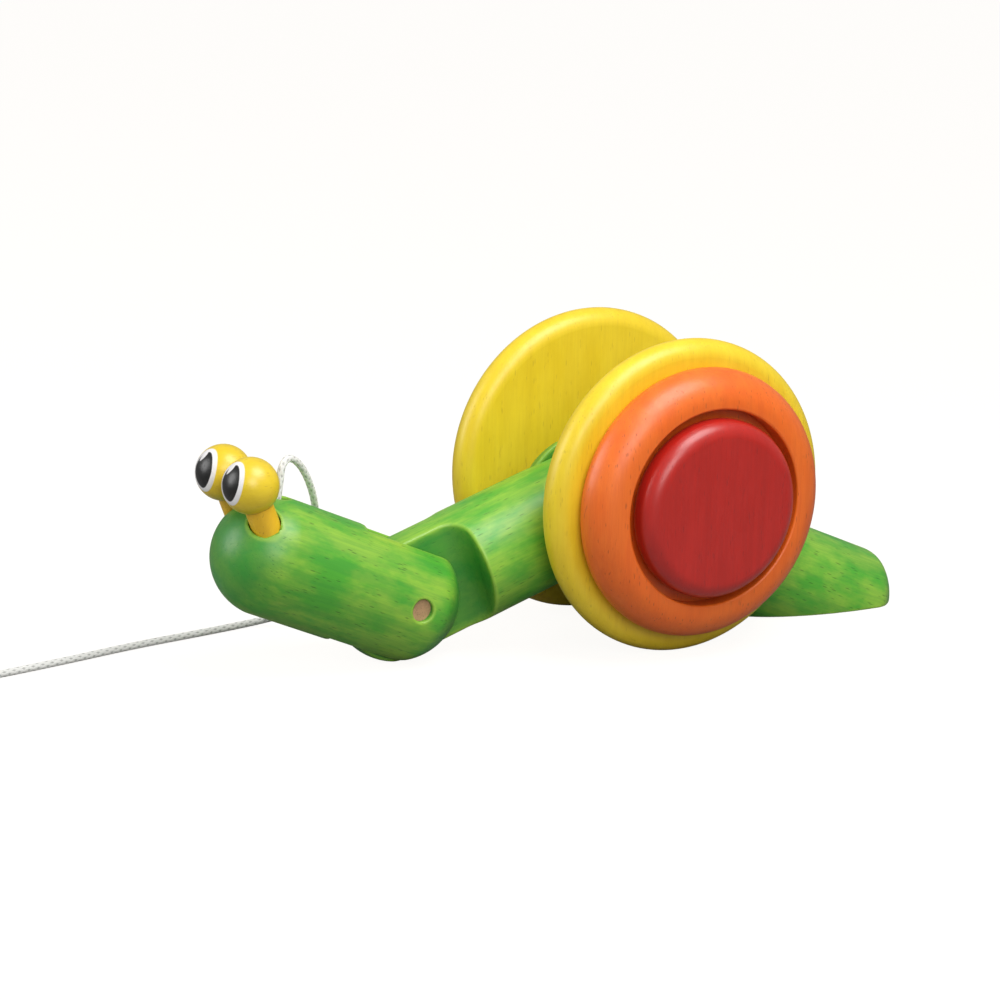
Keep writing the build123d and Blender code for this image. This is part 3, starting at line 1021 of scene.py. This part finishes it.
class INCHWORM_OT_wheels(bpy.types.Operator):
    """Discs, rings and hubs of the two wheels"""

    bl_idname = "inchworm.wheels"
    bl_label = "Wheels"

    def execute(self, context):
        paint = colours()
        upright = math.radians(90)
        yellow = stained("yellow_stain", tuple(paint.yellow), (0.92, 0.70, 0.04), (0.60, 0.38, 0.010),
                         (0.35, 0.20, 0.01), upright, (0.1, 0.0, 0.2), (0.5, 0.2, 0.28), 0.25)
        orange = stained("orange_stain", tuple(paint.orange), (0.90, 0.20, 0.022), (0.64, 0.085, 0.008),
                         (0.30, 0.05, 0.01), upright, (0.3, 0.0, 0.5), (0.5, 0.3, 0.5), 0.28)
        red = stained("red_stain", tuple(paint.red), (0.56, 0.020, 0.014), (0.30, 0.007, 0.006),
                      (0.16, 0.01, 0.01), upright, (0.6, 0.0, 0.1), (0.4, 0.25, 0.3), 0.45, sheen=0.38)
        for side in SIDES:
            dress("wheel_disc_" + side, yellow)
            dress("wheel_ring_" + side, orange)
            dress("wheel_hub_" + side, red)
        dress("pull_bead", red)
        return {"FINISHED"}


class INCHWORM_OT_pins(bpy.types.Operator):
    """Knee pin, axle and spacers of bare wood"""

    bl_idname = "inchworm.pins"
    bl_label = "Pins and spacers"

    def execute(self, context):
        paint = colours()
        wood = tuple(paint.wood)
        light, deep, pore = (tuple(min(1.0, share * c) for c in wood) for share in (1.25, 0.6, 0.35))
        bare = stained("bare_wood", wood, light, deep, pore, 0.0, (0.4, 0.2, 0.0), (0.5, 0.4, 0.6), 0.0,
                       sheen=0.62)
        turn = bare.node_tree.nodes["Mapping"]
        turn.inputs["Rotation"].default_value = (0.0, 0.0, math.radians(90))
        for node in ("knee_pin", "axle", "wheel_spacer_left", "wheel_spacer_right"):
            dress(node, bare)
        return {"FINISHED"}


GAZE = (-0.955, -0.185, 0.222)


class INCHWORM_OT_eyes(bpy.types.Operator):
    """Ball eyes with painted fronts, and their stalks"""

    bl_idname = "inchworm.eyes"
    bl_label = "Eyes"

    def execute(self, context):
        paint = colours()
        pitch = sizes().head_pitch
        direction = in_plane(math.pi - pitch)
        axis = unit(direction + square_to(direction))
        gaze = unit(GAZE)
        across = unit(np.cross([0.0, 0.0, 1.0], gaze))
        upward = np.cross(gaze, across)
        if across[1] > 0:
            across = -across
        material = eye_finish(tuple(paint.yellow), tuple(paint.eye_white), tuple(paint.pupil))
        stalks = stained("yellow_stain_stalks", (0.86, 0.50, 0.014), (0.92, 0.60, 0.03), (0.62, 0.30, 0.01),
                         (0.30, 0.12, 0.01), pitch + math.radians(45), (0.7, 0.1, 0.0),
                         (0.4, 0.25, 0.4), 0.25)
        hole, rim = 4.43 * MM, 0.35 * MM
        start = math.asin((hole + rim) / EYE_R)
        lower = np.linspace(start, math.pi, 90)
        ball = np.stack([EYE_R * np.sin(lower), -EYE_R * np.cos(lower)], -1)
        depth = -(EYE_R - STALK_IN_EYE)
        base = [(0.0, depth), (hole, depth), (hole, -EYE_R * math.cos(start) + rim)]
        ball[-1, 0] = 0.0
        profile = np.vstack([base, ball])
        for side in SIDES:
            centre = eye_middle(direction, side)
            points, faces = turned(centre, axis, profile, 128)
            piece = add_piece("eye_" + side, points, faces, "head", material)
            away = unit(points - centre)
            place = np.stack([away @ across, away @ upward, away @ gaze], -1)
            note(piece, "eye_place", place, "FLOAT_VECTOR")
            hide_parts("eye_ball_" + side)
            dress("eye_stalk_" + side, stalks)
        return {"FINISHED"}


class INCHWORM_PT_panel(bpy.types.Panel):
    bl_idname = "INCHWORM_PT_panel"
    bl_label = "Inchworm"
    bl_space_type = "VIEW_3D"
    bl_region_type = "UI"
    bl_category = "Inchworm"

    def draw(self, context):
        for group in (context.scene.inchworm_sizes, context.scene.inchworm_colours):
            box = self.layout.box()
            for name in group.__annotations__:
                box.prop(group, name)
        for operator in OPERATORS:
            self.layout.operator(operator.bl_idname)


OPERATORS = (
    INCHWORM_OT_stage,
    INCHWORM_OT_cord,
    INCHWORM_OT_rods,
    INCHWORM_OT_wheels,
    INCHWORM_OT_pins,
    INCHWORM_OT_eyes,
)
CLASSES = (InchwormSizes, InchwormColours, *OPERATORS, INCHWORM_PT_panel)


def register():
    for cls in CLASSES:
        bpy.utils.register_class(cls)
    bpy.types.Scene.inchworm_sizes = bpy.props.PointerProperty(type=InchwormSizes)
    bpy.types.Scene.inchworm_colours = bpy.props.PointerProperty(type=InchwormColours)


def unregister():
    del bpy.types.Scene.inchworm_colours
    del bpy.types.Scene.inchworm_sizes
    for cls in reversed(CLASSES):
        bpy.utils.unregister_class(cls)


def main():
    register()
    bpy.ops.inchworm.stage()
    bpy.ops.inchworm.cord()
    bpy.ops.inchworm.rods()
    bpy.ops.inchworm.wheels()
    bpy.ops.inchworm.pins()
    bpy.ops.inchworm.eyes()


if __name__ == "__main__":
    main()
